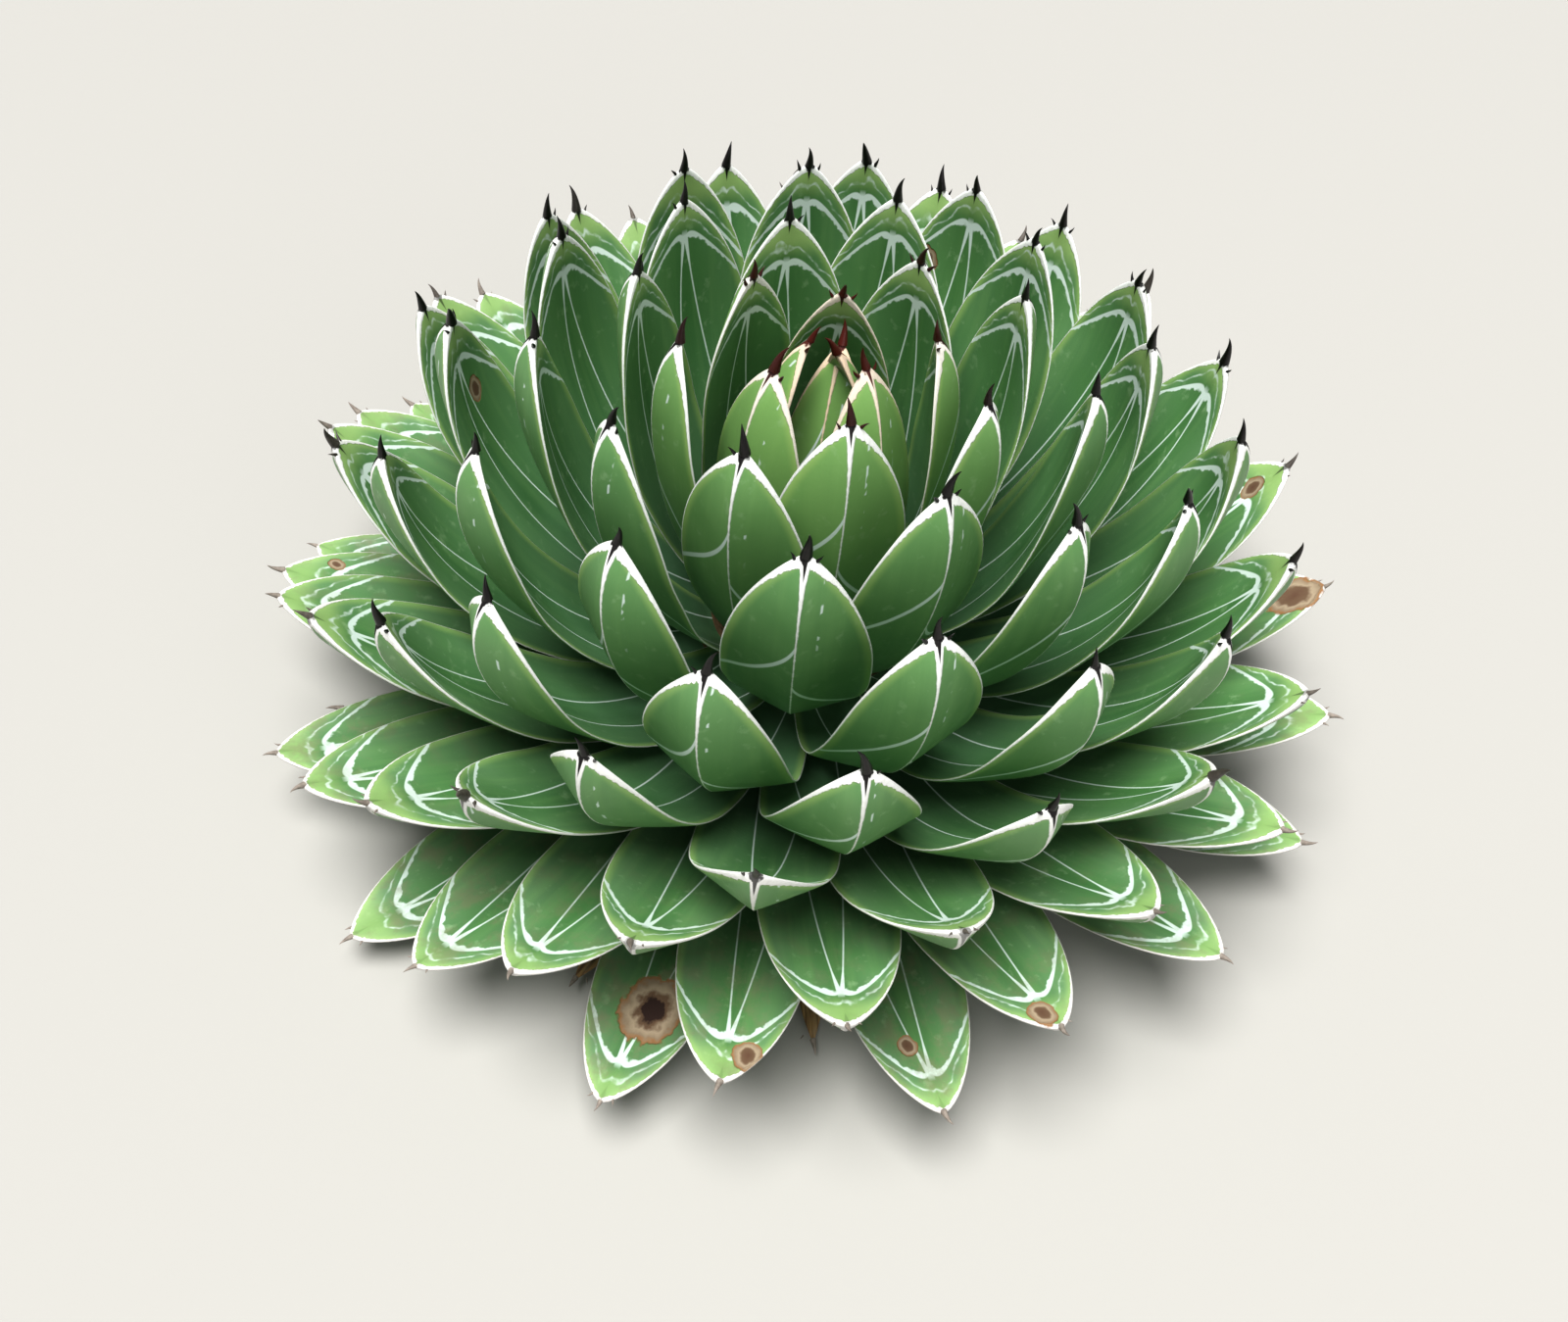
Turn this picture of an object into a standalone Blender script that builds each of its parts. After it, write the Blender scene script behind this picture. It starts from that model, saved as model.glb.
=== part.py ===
"""Queen victoria agave: a dense rosette of keeled leaves on a short stem that is cut flat at its foot.

Metres, +Z up. The origin is the middle of the flat foot that the plant rests on, with the stem's axis on +Z.
Each leaf has an age: 0 is the youngest, in the bud, and every older leaf stands one divergence angle further
round. The rules below turn an age into a place on the stem, a lean, a reach and a shape.
"""

import math
import random
from dataclasses import dataclass

import bmesh
import bpy
from mathutils import Matrix, Vector

MM = 0.001

# The leaves, by age: the youngest are joined to the stem, and one leaf among the first dry ones is still green
INNER_LEAVES = 57
GREEN_LEAVES = 105
LATE_GREEN_LEAF = 107
DRY_LEAVES = 10

# The spiral: the azimuth of leaf 0 and the angle from one leaf to the next
FIRST_AZIMUTH = math.radians(258.6)
DIVERGENCE = math.radians(137.62)

# A leaf's place from the middle to the rim is the square root of (age + AGE_OFFSET) / RIM_AGE
AGE_OFFSET = 0.5
RIM_AGE = 100

# The stem
STEM_RADIUS = 42 * MM
STEM_DOME_CENTRE = 38 * MM
STEM_FOOT_RADIUS = 34 * MM
STEM_FOOT_RISE = 7 * MM
STEM_STEPS = 24
DOME_POINTS = 5

# Where leaves meet the stem
TOP_ROOT_HEIGHT = 78 * MM
ROOT_HEIGHT_POWER = 0.75
LOWEST_ROOT_HEIGHT = 22 * MM
ROOT_SINK = 8 * MM

# The rosette's form: the tips lie round this point, each at a lean from upright and a reach
ROSETTE_CENTRE = 58 * MM
YOUNGEST_LEAN = -12.4
LEAN_RISE = 100.1
LEAN_CURVE = 10.3
YOUNGEST_REACH = 110.5 * MM
REACH_RISE = 91.4 * MM

# The leaf's outline
WIDEST_LEAF = 50 * MM
BUD_NARROWING = 0.35
BUD_NARROWING_AGES = 4
RIM_NARROWING = 0.1
RIM_NARROWING_POWER = 6
BASE_WIDTH = 0.56
BASE_TAPER_POWER = 1.3
ARCH_LENGTH = 64 * MM
LONGEST_ARCH_SHARE = 0.66
ARCH_POWER = 3.2
ARCH_BLUNTNESS = 0.88
ARCH_STATIONS = (1.0, 0.62, 0.36, 0.18, 0.06, 0.0)

# The leaf's thickness and channel, as shares of its width there
KEEL_DEPTH = 0.28
TIP_KEEL_DEPTH = 0.18
BASE_KEEL_LOSS = 0.36
TIP_FORM_LENGTH = 14 * MM
CHANNEL_DEPTH = 0.075
BUD_CHANNEL_DEPTH = 0.12
BUD_CHANNEL_AGES = 6
BASE_CHANNEL_GAIN = 0.67
EDGE_THICKNESS = 1.4 * MM

# The leaf's curve: degrees that its end turns up from the straight line, by the leaf's place in the rosette
LEAST_TIP_TURN = 4
TIP_TURN_RISE = 33
TIP_TURN_AT = 0.63
TIP_TURN_SPREAD = 0.19
ROOT_TURN_RATIO = 2
WIDEST_ROOT_LEAN = 95
ROOT_HANDLE = 0.25
TIP_HANDLE = 0.5
LONG_LEAF = 130 * MM

# The dry leaves: each value is drawn between two limits
DRY_SEED = 7
DRY_ROOT_HEIGHT = 9.5 * MM
DRY_REACH = (150 * MM, 190 * MM)
DRY_TIP_HEIGHT = (4.5 * MM, 7 * MM)
DRY_ROOT_LEAN = (92, 95)
DRY_TIP_LEAN = (84, 88)
DRY_WIDTH = (19 * MM, 25 * MM)
DRY_TWIST = (-9, 9)
DRY_ARCH_SHARE = 0.5
DRY_BASE_WIDTH = 0.55
DRY_KEEL_DEPTH = 0.17
DRY_CHANNEL_DEPTH = 0.03
DRY_EDGE_THICKNESS = 0.9 * MM

# The end spine
SPINE_LENGTH = 10 * MM
DRY_SPINE_LENGTH = 7 * MM
SPINE_RADIUS = 1.3 * MM
SPINE_TOP = 0.9 * MM
SPINE_TOP_POWER = 3

# Neighbouring nodes keep this far apart
CLEARANCE = 0.3 * MM
NEIGHBOUR_ANGLE = math.radians(58)
OLDEST_NEIGHBOUR = 60

# Points this near to each other become one: after a Boolean, and on the axis of the turned stem
MERGE_DISTANCE = 0.001 * MM
TURNED_MERGE_DISTANCE = 0.1 * MM

# Edges sharper than this stay crisp when the faces are shaded smooth
CREASE_ANGLE = math.radians(50)


@dataclass
class Leaf:
    """The form of one leaf. Heights and distances from the axis are those of the line between its edges."""

    azimuth: float
    root: tuple
    tip: tuple
    root_lean: float
    tip_lean: float
    width: float
    arch: float
    base_width: float = BASE_WIDTH
    keel: float = KEEL_DEPTH
    channel: float = CHANNEL_DEPTH
    edge: float = EDGE_THICKNESS
    spine: float = SPINE_LENGTH
    twist: float = 0.0


def clear_scene():
    """Remove whatever the scene starts with."""
    for obj in list(bpy.data.objects):
        bpy.data.objects.remove(obj, do_unlink=True)


def new_collection(name):
    """Add a collection to the scene."""
    collection = bpy.data.collections.new(name)
    bpy.context.scene.collection.children.link(collection)
    return collection


def new_material(name, colour, roughness):
    """Make a Principled material of one colour."""
    material = bpy.data.materials.new(name)
    material.use_nodes = True
    shader = material.node_tree.nodes["Principled BSDF"]
    shader.inputs["Base Color"].default_value = (*colour, 1.0)
    shader.inputs["Roughness"].default_value = roughness
    shader.inputs["Metallic"].default_value = 0.0
    material.diffuse_color = (*colour, 1.0)
    return material


def age_scale(age):
    """Grow as the square root of the age, from the middle of the rosette (0) to its rim (about 1)."""
    return math.sqrt((age + AGE_OFFSET) / RIM_AGE)


def azimuth_of(age):
    """Turn from one leaf to the next by the divergence angle."""
    return FIRST_AZIMUTH + DIVERGENCE * age


def stem_radius_at(height):
    """Give the stem's radius: a cylinder with a round top."""
    if height <= STEM_DOME_CENTRE:
        return STEM_RADIUS
    return math.sqrt(max(STEM_RADIUS**2 - (height - STEM_DOME_CENTRE) ** 2, 0))


def green_leaf(age):
    """Work out the form of a living leaf from its age."""
    scale = age_scale(age)
    lean = math.radians(YOUNGEST_LEAN + LEAN_RISE * scale + LEAN_CURVE * scale**2)
    reach = YOUNGEST_REACH + REACH_RISE * scale
    tip = (reach * math.sin(lean), ROSETTE_CENTRE + reach * math.cos(lean))
    along = age / GREEN_LEAVES
    height = TOP_ROOT_HEIGHT - (TOP_ROOT_HEIGHT - LOWEST_ROOT_HEIGHT) * along**ROOT_HEIGHT_POWER
    root = (stem_radius_at(height), height)
    chord = math.atan2(tip[0] - root[0], tip[1] - root[1])
    length = math.dist(root, tip)
    turn = LEAST_TIP_TURN + TIP_TURN_RISE * math.exp(-(((scale - TIP_TURN_AT) / TIP_TURN_SPREAD) ** 2))
    sunk = Vector(root) - ROOT_SINK * Vector((math.sin(chord), math.cos(chord)))
    bud_part = BUD_NARROWING * math.exp(-age / BUD_NARROWING_AGES)
    return Leaf(
        azimuth=azimuth_of(age),
        root=tuple(sunk),
        tip=tip,
        root_lean=min(chord + math.radians(ROOT_TURN_RATIO * turn), math.radians(WIDEST_ROOT_LEAN)),
        tip_lean=chord - math.radians(turn),
        width=WIDEST_LEAF * (1 - bud_part - RIM_NARROWING * scale**RIM_NARROWING_POWER),
        arch=min(ARCH_LENGTH, LONGEST_ARCH_SHARE * length),
        channel=CHANNEL_DEPTH + BUD_CHANNEL_DEPTH * math.exp(-age / BUD_CHANNEL_AGES),
    )


def dry_leaf(age, chance):
    """Work out the form of a dead leaf: thin, shrunk, rolled up at its edges and lying low."""
    reach = chance.uniform(*DRY_REACH)
    return Leaf(
        azimuth=azimuth_of(age),
        root=(STEM_RADIUS - ROOT_SINK, DRY_ROOT_HEIGHT),
        tip=(reach, chance.uniform(*DRY_TIP_HEIGHT)),
        root_lean=math.radians(chance.uniform(*DRY_ROOT_LEAN)),
        tip_lean=math.radians(chance.uniform(*DRY_TIP_LEAN)),
        width=chance.uniform(*DRY_WIDTH),
        arch=DRY_ARCH_SHARE * reach,
        base_width=DRY_BASE_WIDTH,
        keel=DRY_KEEL_DEPTH,
        channel=DRY_CHANNEL_DEPTH,
        edge=DRY_EDGE_THICKNESS,
        spine=DRY_SPINE_LENGTH,
        twist=math.radians(chance.uniform(*DRY_TWIST)),
    )


def line_point(leaf, along):
    """Give a point on the leaf's middle line and its direction, from the root (0) to the tip (1)."""
    root = Vector(leaf.root)
    tip = Vector(leaf.tip)
    length = (tip - root).length
    handle_a = root + ROOT_HANDLE * length * Vector((math.sin(leaf.root_lean), math.cos(leaf.root_lean)))
    handle_b = tip - TIP_HANDLE * length * Vector((math.sin(leaf.tip_lean), math.cos(leaf.tip_lean)))
    back = 1 - along
    point = back**3 * root + 3 * back**2 * along * handle_a + 3 * back * along**2 * handle_b + along**3 * tip
    direction = back**2 * (handle_a - root) + 2 * back * along * (handle_b - handle_a)
    direction += along**2 * (tip - handle_b)
    return point, direction.normalized()


def half_width(leaf, from_tip, length):
    """Give half the width at a distance from the tip: a pointed arch, then a slow taper to the base."""
    if from_tip < leaf.arch:
        part = (1 - (1 - from_tip / leaf.arch) ** ARCH_POWER) ** ARCH_BLUNTNESS
    else:
        past_arch = (from_tip - leaf.arch) / (length - leaf.arch)
        part = 1 - (1 - leaf.base_width) * past_arch**BASE_TAPER_POWER
    return max(leaf.width / 2 * part, SPINE_RADIUS)


def section(leaf, from_tip, length, grow):
    """Give the six points of one cross-section, as (across, up) pairs, in order round it."""
    half = half_width(leaf, from_tip, length)
    near_tip = math.exp(-from_tip / TIP_FORM_LENGTH)
    near_base = from_tip / length
    keel = 2 * half * (leaf.keel * (1 - BASE_KEEL_LOSS * near_base) + TIP_KEEL_DEPTH * near_tip)
    channel = 2 * half * leaf.channel * (1 + BASE_CHANNEL_GAIN * near_base) * (1 - near_tip)
    channel -= SPINE_TOP * near_tip**SPINE_TOP_POWER
    edge = min(leaf.edge, half)
    half += grow
    return [
        (-half, grow),
        (-half, -edge - grow),
        (0, -keel - grow),
        (half, -edge - grow),
        (half, grow),
        (0, grow - channel),
    ]


def leaf_mesh(name, leaf, grow=0.0):
    """Loft one closed leaf with its end spine. A grown one stands out by that much on every side."""
    length = math.dist(leaf.root, leaf.tip)
    outward = Vector((math.cos(leaf.azimuth), math.sin(leaf.azimuth), 0))
    across = Vector((-math.sin(leaf.azimuth), math.cos(leaf.azimuth), 0))
    stations = [length + grow, *[part * leaf.arch for part in ARCH_STATIONS]]
    if length > LONG_LEAF:
        stations.insert(1, (length + leaf.arch) / 2)
    shape = bmesh.new()
    rings = []
    for from_tip in stations:
        point, direction = line_point(leaf, 1 - from_tip / length)
        forward = outward * direction.x + Vector((0, 0, direction.y))
        up = forward.cross(across)
        turn = Matrix.Rotation(leaf.twist * (1 - from_tip / length), 3, forward)
        centre = outward * point.x + Vector((0, 0, point.y))
        rings.append(
            [
                shape.verts.new(centre + turn @ (across * side + up * height))
                for side, height in section(leaf, from_tip, length, grow)
            ]
        )
    point, direction = line_point(leaf, 1)
    forward = outward * direction.x + Vector((0, 0, direction.y))
    end = outward * point.x + Vector((0, 0, point.y)) + forward * (leaf.spine + 2 * grow)
    apex = shape.verts.new(end)
    shape.faces.new(rings[0])
    for near, far in zip(rings, rings[1:]):
        for i in range(len(near)):
            j = (i + 1) % len(near)
            shape.faces.new((near[i], far[i], far[j], near[j]))
    last = rings[-1]
    for i in range(len(last)):
        shape.faces.new((last[i], apex, last[(i + 1) % len(last)]))
    bmesh.ops.triangulate(shape, faces=shape.faces[:])
    bmesh.ops.recalc_face_normals(shape, faces=shape.faces[:])
    mesh = bpy.data.meshes.new(name)
    shape.to_mesh(mesh)
    shape.free()
    return mesh


def add_object(name, mesh, collection):
    """Put a mesh in a collection as an object."""
    obj = bpy.data.objects.new(name, mesh)
    collection.objects.link(obj)
    return obj


def add_cutter(name, mesh, collection):
    """Put a mesh that only cuts or joins in its collection, drawn as a wire and left out of renders."""
    obj = add_object(name, mesh, collection)
    obj.display_type = "WIRE"
    obj.hide_render = True
    return obj


def finish(obj, material):
    """Give an object its material and shade it smooth, with its edges crisp."""
    obj.data.materials.clear()
    obj.data.materials.append(material)
    obj.data.shade_smooth()
    obj.data.set_sharp_from_angle(angle=CREASE_ANGLE)


def stem_object(name, collection, grow=0.0):
    """Turn the stem: a flat foot, a straight side and a round top. A grown one has no foot left to stand on."""
    profile = [(0.0, STEM_DOME_CENTRE + STEM_RADIUS + grow)]
    for step in range(1, DOME_POINTS):
        angle = math.pi / 2 * step / (DOME_POINTS - 1)
        radius = (STEM_RADIUS + grow) * math.sin(angle)
        profile.append((radius, STEM_DOME_CENTRE + (STEM_RADIUS + grow) * math.cos(angle)))
    profile.append((STEM_RADIUS + grow, STEM_FOOT_RISE))
    profile.append((STEM_FOOT_RADIUS + grow, -grow))
    profile.append((0.0, -grow))
    mesh = bpy.data.meshes.new(name)
    edges = [(i, i + 1) for i in range(len(profile) - 1)]
    mesh.from_pydata([(radius, 0, height) for radius, height in profile], edges, [])
    obj = add_object(name, mesh, collection)
    screw = obj.modifiers.new("turn", "SCREW")
    screw.steps = STEM_STEPS
    screw.render_steps = STEM_STEPS
    screw.use_merge_vertices = True
    screw.merge_threshold = TURNED_MERGE_DISTANCE
    return apply_modifiers(obj)


def apply_modifiers(obj):
    """Replace an object's mesh with what its modifiers make of it."""
    bpy.context.view_layer.update()
    evaluated = obj.evaluated_get(bpy.context.evaluated_depsgraph_get())
    mesh = bpy.data.meshes.new_from_object(evaluated)
    mesh.name = obj.name
    obj.modifiers.clear()
    obj.data = mesh
    return obj


def keep_main_body(obj):
    """Keep the largest closed body of a mesh, which drops loose scraps and fills sealed hollows."""
    shape = bmesh.new()
    shape.from_mesh(obj.data)
    bmesh.ops.remove_doubles(shape, verts=shape.verts[:], dist=MERGE_DISTANCE)
    bmesh.ops.dissolve_degenerate(shape, edges=shape.edges[:], dist=MERGE_DISTANCE)
    left = set(shape.verts)
    bodies = []
    while left:
        start = left.pop()
        body = {start}
        waiting = [start]
        while waiting:
            for edge in waiting.pop().link_edges:
                for vert in edge.verts:
                    if vert not in body:
                        body.add(vert)
                        waiting.append(vert)
        left -= body
        bodies.append(body)
    main = max(bodies, key=len)
    scraps = [vert for body in bodies if body is not main for vert in body]
    bmesh.ops.delete(shape, geom=scraps, context="VERTS")
    bmesh.ops.triangulate(shape, faces=shape.faces[:])
    shape.to_mesh(obj.data)
    shape.free()
    return obj


def combine(obj, others, operation):
    """Join the others to an object, or cut them from it, by one Boolean on a collection.

    The manifold solver does in seconds what takes the exact one minutes on so many leaves.
    """
    group = bpy.data.collections.new("operands")
    bpy.context.scene.collection.children.link(group)
    for other in others:
        group.objects.link(other)
    boolean = obj.modifiers.new("combine", "BOOLEAN")
    boolean.operation = operation
    boolean.operand_type = "COLLECTION"
    boolean.collection = group
    boolean.solver = "MANIFOLD"
    apply_modifiers(obj)
    for other in others:
        group.objects.unlink(other)
    bpy.data.collections.remove(group)
    return keep_main_body(obj)


def is_neighbour(age, younger):
    """Tell whether a younger leaf stands near enough over a leaf to touch it."""
    turn = (azimuth_of(age) - azimuth_of(younger) + math.pi) % (2 * math.pi) - math.pi
    return 0 < age - younger <= OLDEST_NEIGHBOUR and abs(turn) < NEIGHBOUR_ANGLE


def main():
    """Build the plant: the stem with its inner leaves, each outer leaf and each dry leaf."""
    clear_scene()
    plant = new_collection("queen_victoria_agave")
    cutters = new_collection("cutters")
    cutters.hide_render = True
    green = new_material("leaf_green", (0.12, 0.25, 0.07), 0.45)
    inner_green = new_material("inner_leaf_green", (0.14, 0.29, 0.08), 0.45)
    dry = new_material("dry_leaf_tan", (0.40, 0.28, 0.15), 0.8)

    green_ages = [*range(GREEN_LEAVES), LATE_GREEN_LEAF]
    oldest = [age for age in range(GREEN_LEAVES, GREEN_LEAVES + DRY_LEAVES + 1) if age != LATE_GREEN_LEAF]
    chance = random.Random(DRY_SEED)
    forms = {age: green_leaf(age) for age in green_ages}
    forms |= {age: dry_leaf(age, chance) for age in oldest}

    grown = {}
    for age, form in forms.items():
        name = f"room_for_{age:03d}"
        grown[age] = add_cutter(name, leaf_mesh(name, form, CLEARANCE), cutters)
    stem_room = stem_object("room_for_stem", cutters, CLEARANCE)

    heart = stem_object("stem_with_inner_leaves", plant)
    inner = []
    for age in range(INNER_LEAVES):
        name = f"inner_leaf_{age:03d}"
        inner.append(add_cutter(name, leaf_mesh(name, forms[age]), cutters))
    combine(heart, inner, "UNION")
    finish(heart, inner_green)
    for obj in inner:
        bpy.data.objects.remove(obj, do_unlink=True)

    for age in [*green_ages[INNER_LEAVES:], *oldest]:
        is_dry = age in oldest
        name = f"dry_leaf_{age:03d}" if is_dry else f"leaf_{age:03d}"
        leaf = add_object(name, leaf_mesh(name, forms[age]), plant)
        over = [stem_room]
        for younger in forms:
            if is_neighbour(age, younger):
                over.append(grown[younger])
        combine(leaf, over, "DIFFERENCE")
        finish(leaf, dry if is_dry else green)

    for obj in [*grown.values(), stem_room]:
        bpy.data.objects.remove(obj, do_unlink=True)
    bpy.data.collections.remove(cutters)


main()
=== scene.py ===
# %% [markdown]
# # Queen Victoria agave
#
# This lesson dresses the plain solids of an agave rosette: 106 green leaves in one spiral, ten dead
# leaves under them, and the short stem that carries them all. Every leaf follows the same rule, so one
# tree of Geometry Nodes grows them all, and one material paints them. The lengths are in metres, with
# the stem's cut foot at the origin and Z up.

# %% Load the solids
import math
import random
from functools import partial

import bpy
from mathutils import Matrix, Vector


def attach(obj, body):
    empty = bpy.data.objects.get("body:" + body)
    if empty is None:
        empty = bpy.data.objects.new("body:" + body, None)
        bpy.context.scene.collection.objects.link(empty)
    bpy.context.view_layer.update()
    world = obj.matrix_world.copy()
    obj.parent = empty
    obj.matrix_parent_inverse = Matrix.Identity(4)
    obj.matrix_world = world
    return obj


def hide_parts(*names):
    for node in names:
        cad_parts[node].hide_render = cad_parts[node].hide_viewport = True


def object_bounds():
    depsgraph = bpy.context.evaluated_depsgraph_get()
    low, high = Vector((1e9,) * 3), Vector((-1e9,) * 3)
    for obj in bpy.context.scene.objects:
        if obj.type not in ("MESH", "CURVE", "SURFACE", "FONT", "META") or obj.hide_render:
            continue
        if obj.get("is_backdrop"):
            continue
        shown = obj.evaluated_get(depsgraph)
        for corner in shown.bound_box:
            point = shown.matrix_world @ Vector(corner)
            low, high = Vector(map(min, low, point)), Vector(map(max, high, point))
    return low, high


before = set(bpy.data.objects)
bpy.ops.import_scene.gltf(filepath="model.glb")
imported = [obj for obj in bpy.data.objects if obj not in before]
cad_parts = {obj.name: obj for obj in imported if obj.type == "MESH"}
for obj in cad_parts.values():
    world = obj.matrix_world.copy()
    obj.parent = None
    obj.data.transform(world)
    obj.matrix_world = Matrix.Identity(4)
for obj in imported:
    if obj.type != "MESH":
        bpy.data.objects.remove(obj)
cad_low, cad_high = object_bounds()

MM = 0.001
scene = bpy.context.scene
print("solids loaded:", len(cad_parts), "nodes")

# %% [markdown]
# ## Small helpers
#
# Node trees are long lists of small steps, so they are written as one call a step. The helper adds a
# node, gives it its settings, fills its inputs in order with numbers or with links, and returns the
# output to pass on. Only the sockets that the settings leave in use are counted. A kind without a prefix
# is one of the nodes that shaders and geometry share, and after a colon comes the choice in its main
# menu, as in Mix:RGBA. A kind in capitals, such as ADD, is that operation of the Math node. A colour is
# given as the sRGB hex value that a paint chart or a picture editor shows, and Blender wants it linear.


# %% Nodes, colours and materials
MAIN_MENUS = {"Mix": "data_type", "MapRange": "interpolation_type", "VectorRotate": "rotation_type"}


def add(tree, kind, *values, out=0, **settings):
    """Add a node, fill its inputs in order and return one of its outputs."""
    kind, _, choice = ("Math:" + kind if kind.isupper() else kind).partition(":")
    node = tree.nodes.new(kind if "Node" in kind else "ShaderNode" + kind)
    if choice:
        setattr(node, MAIN_MENUS.get(kind, "operation"), choice)
    for name, value in settings.items():
        setattr(node, name, value)
    sockets = [socket for socket in node.inputs if socket.enabled]
    for socket, value in zip(sockets, values):
        if isinstance(value, bpy.types.NodeSocket):
            tree.links.new(value, socket)
        elif value is not None:
            socket.default_value = value
    outputs = [socket for socket in node.outputs if socket.enabled]
    return outputs[out] if outputs else node


def linear(hex_colour):
    """Turn an sRGB hex colour into the linear values that a socket takes."""
    parts = [int(hex_colour[i : i + 2], 16) / 255 for i in (1, 3, 5)]
    return (*[p / 12.92 if p <= 0.04045 else ((p + 0.055) / 1.055) ** 2.4 for p in parts], 1.0)


def new_material(name):
    """Make a material, and return it with its node tree and its shader."""
    material = bpy.data.materials.new(name)
    material.use_nodes = True
    return material, material.node_tree, material.node_tree.nodes["Principled BSDF"]


def finish_shader(shader, values):
    """Link outputs to the shader's sockets, and set plain values on them."""
    for name, value in values.items():
        if isinstance(value, bpy.types.NodeSocket):
            shader.id_data.links.new(value, shader.inputs[name])
        else:
            shader.inputs[name].default_value = value


print("leaf green in linear light:", [round(part, 3) for part in linear("#5c8f4a")[:3]])

# %% [markdown]
# ## The rule of the spiral
#
# A rosette adds its leaves one at a time at the growing point, each one turned on from the last by the
# golden angle of about 137.5 degrees. Older leaves are pushed outwards, so a leaf's age gives its place.
# The number of leaves inside a circle grows with the circle's area, which makes the distance from the
# middle follow the square root of the age. Lean, in degrees from the vertical, and reach, in millimetres,
# follow the same scale.

# %% Where each leaf stands
FIRST_AZIMUTH = math.radians(258.6)
DIVERGENCE = math.radians(137.62)
INNER_LEAVES = 57
FIRST_LEAN = -12.4
LEAN_GAIN = 100.1
LEAN_BEND = 10.3
FIRST_REACH = 110.5
REACH_GAIN = 91.4
FIRST_ROOT = 78
ROOT_FALL = 56
GREEN_AGES = [*range(105), 107]
DRY_AGES = [105, 106, *range(108, 116)]
STEM_RADIUS = 42 * MM
STEM_DOME_CENTRE = 38 * MM
ROSETTE_CENTRE = 58 * MM
ROOT_SINK = 8 * MM


def stem_radius_at(height):
    """Give the stem's radius: a cylinder with a round top."""
    if height <= STEM_DOME_CENTRE:
        return STEM_RADIUS
    return math.sqrt(max(STEM_RADIUS**2 - (height - STEM_DOME_CENTRE) ** 2, 0))


def in_leaf_plane(lean, length):
    """Give a vector in the upright plane of a leaf, from its lean away from the vertical."""
    return Vector((math.sin(lean), 0, math.cos(lean))) * length


def handles(root, tip, root_lean, tip_lean):
    """Give the four points of the curve along the middle of a leaf, from its root to its tip."""
    length = (tip - root).length
    return {
        "Root": root,
        "Root Handle": root + in_leaf_plane(root_lean, 0.25 * length),
        "Tip Handle": tip - in_leaf_plane(tip_lean, 0.5 * length),
        "Tip": tip,
        "Length": length,
    }


def green_leaf(age):
    """Work out the sizes of a living leaf from its age."""
    scale = math.sqrt((age + 0.5) / 100)
    lean = math.radians(FIRST_LEAN + LEAN_GAIN * scale + LEAN_BEND * scale**2)
    tip = Vector((0, 0, ROSETTE_CENTRE)) + in_leaf_plane(lean, (FIRST_REACH + REACH_GAIN * scale) * MM)
    height = (FIRST_ROOT - ROOT_FALL * (age / 105) ** 0.75) * MM
    root = Vector((stem_radius_at(height), 0, height))
    chord = math.atan2(tip.x - root.x, tip.z - root.z)
    turn = 4 + 33 * math.exp(-(((scale - 0.63) / 0.19) ** 2))
    sunk = root - in_leaf_plane(chord, ROOT_SINK)
    root_lean = min(chord + math.radians(2 * turn), math.radians(95))
    return {
        **handles(sunk, tip, root_lean, chord - math.radians(turn)),
        "Azimuth": FIRST_AZIMUTH + DIVERGENCE * age,
        "Twist": 0.0,
        "Width": 50 * MM * (1 - 0.35 * math.exp(-age / 4) - 0.1 * scale**6),
        "Base Share": 0.56,
        "Arch": min(64 * MM, 0.66 * (tip - root).length),
        "Bluntness": 0.85 - 0.13 * min(max((age - 15) / 60, 0), 1),
        "Keel": 0.28,
        "Channel": 0.075 + 0.12 * math.exp(-age / 6),
        "Edge": 0.8 * MM,
    }


def dry_leaf(age, chance):
    """Work out the sizes of a dead leaf, which has shrunk and lies low."""
    reach = chance.uniform(150, 190) * MM
    tip = Vector((reach, 0, chance.uniform(4.5, 7) * MM))
    root = Vector((STEM_RADIUS - ROOT_SINK, 0, 9.5 * MM))
    root_lean = math.radians(chance.uniform(92, 95))
    tip_lean = math.radians(chance.uniform(84, 88))
    width = chance.uniform(19, 25) * MM
    return {
        **handles(root, tip, root_lean, tip_lean),
        "Azimuth": FIRST_AZIMUTH + DIVERGENCE * age,
        "Twist": math.radians(chance.uniform(-9, 9)),
        "Width": width,
        "Base Share": 0.55,
        "Arch": 0.5 * reach,
        "Bluntness": 0.88,
        "Keel": 0.17,
        "Channel": 0.03,
        "Edge": 0.9 * MM,
    }


dry_chance = random.Random(7)
leaf_sizes = {age: green_leaf(age) for age in GREEN_AGES}
leaf_sizes.update({age: dry_leaf(age, dry_chance) for age in DRY_AGES})
print("longest leaf, mm:", round(max(s["Length"] for s in leaf_sizes.values()) / MM))

# %% [markdown]
# ## Growing a leaf from a flat grid
#
# A leaf could be modelled once and bent a hundred times, but its section changes from leaf to leaf, so
# it is cheaper to let the rule draw each one. A grid is rolled up like a sheet of paper: its rows run
# from the tip to the root and its columns run round the leaf, first over the upper face and then back
# under the keel. The rows crowd together at the tip and the columns crowd at the margins and the keel,
# where the shape turns most. From here on, shape adds a step to the leaf's tree.

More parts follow.
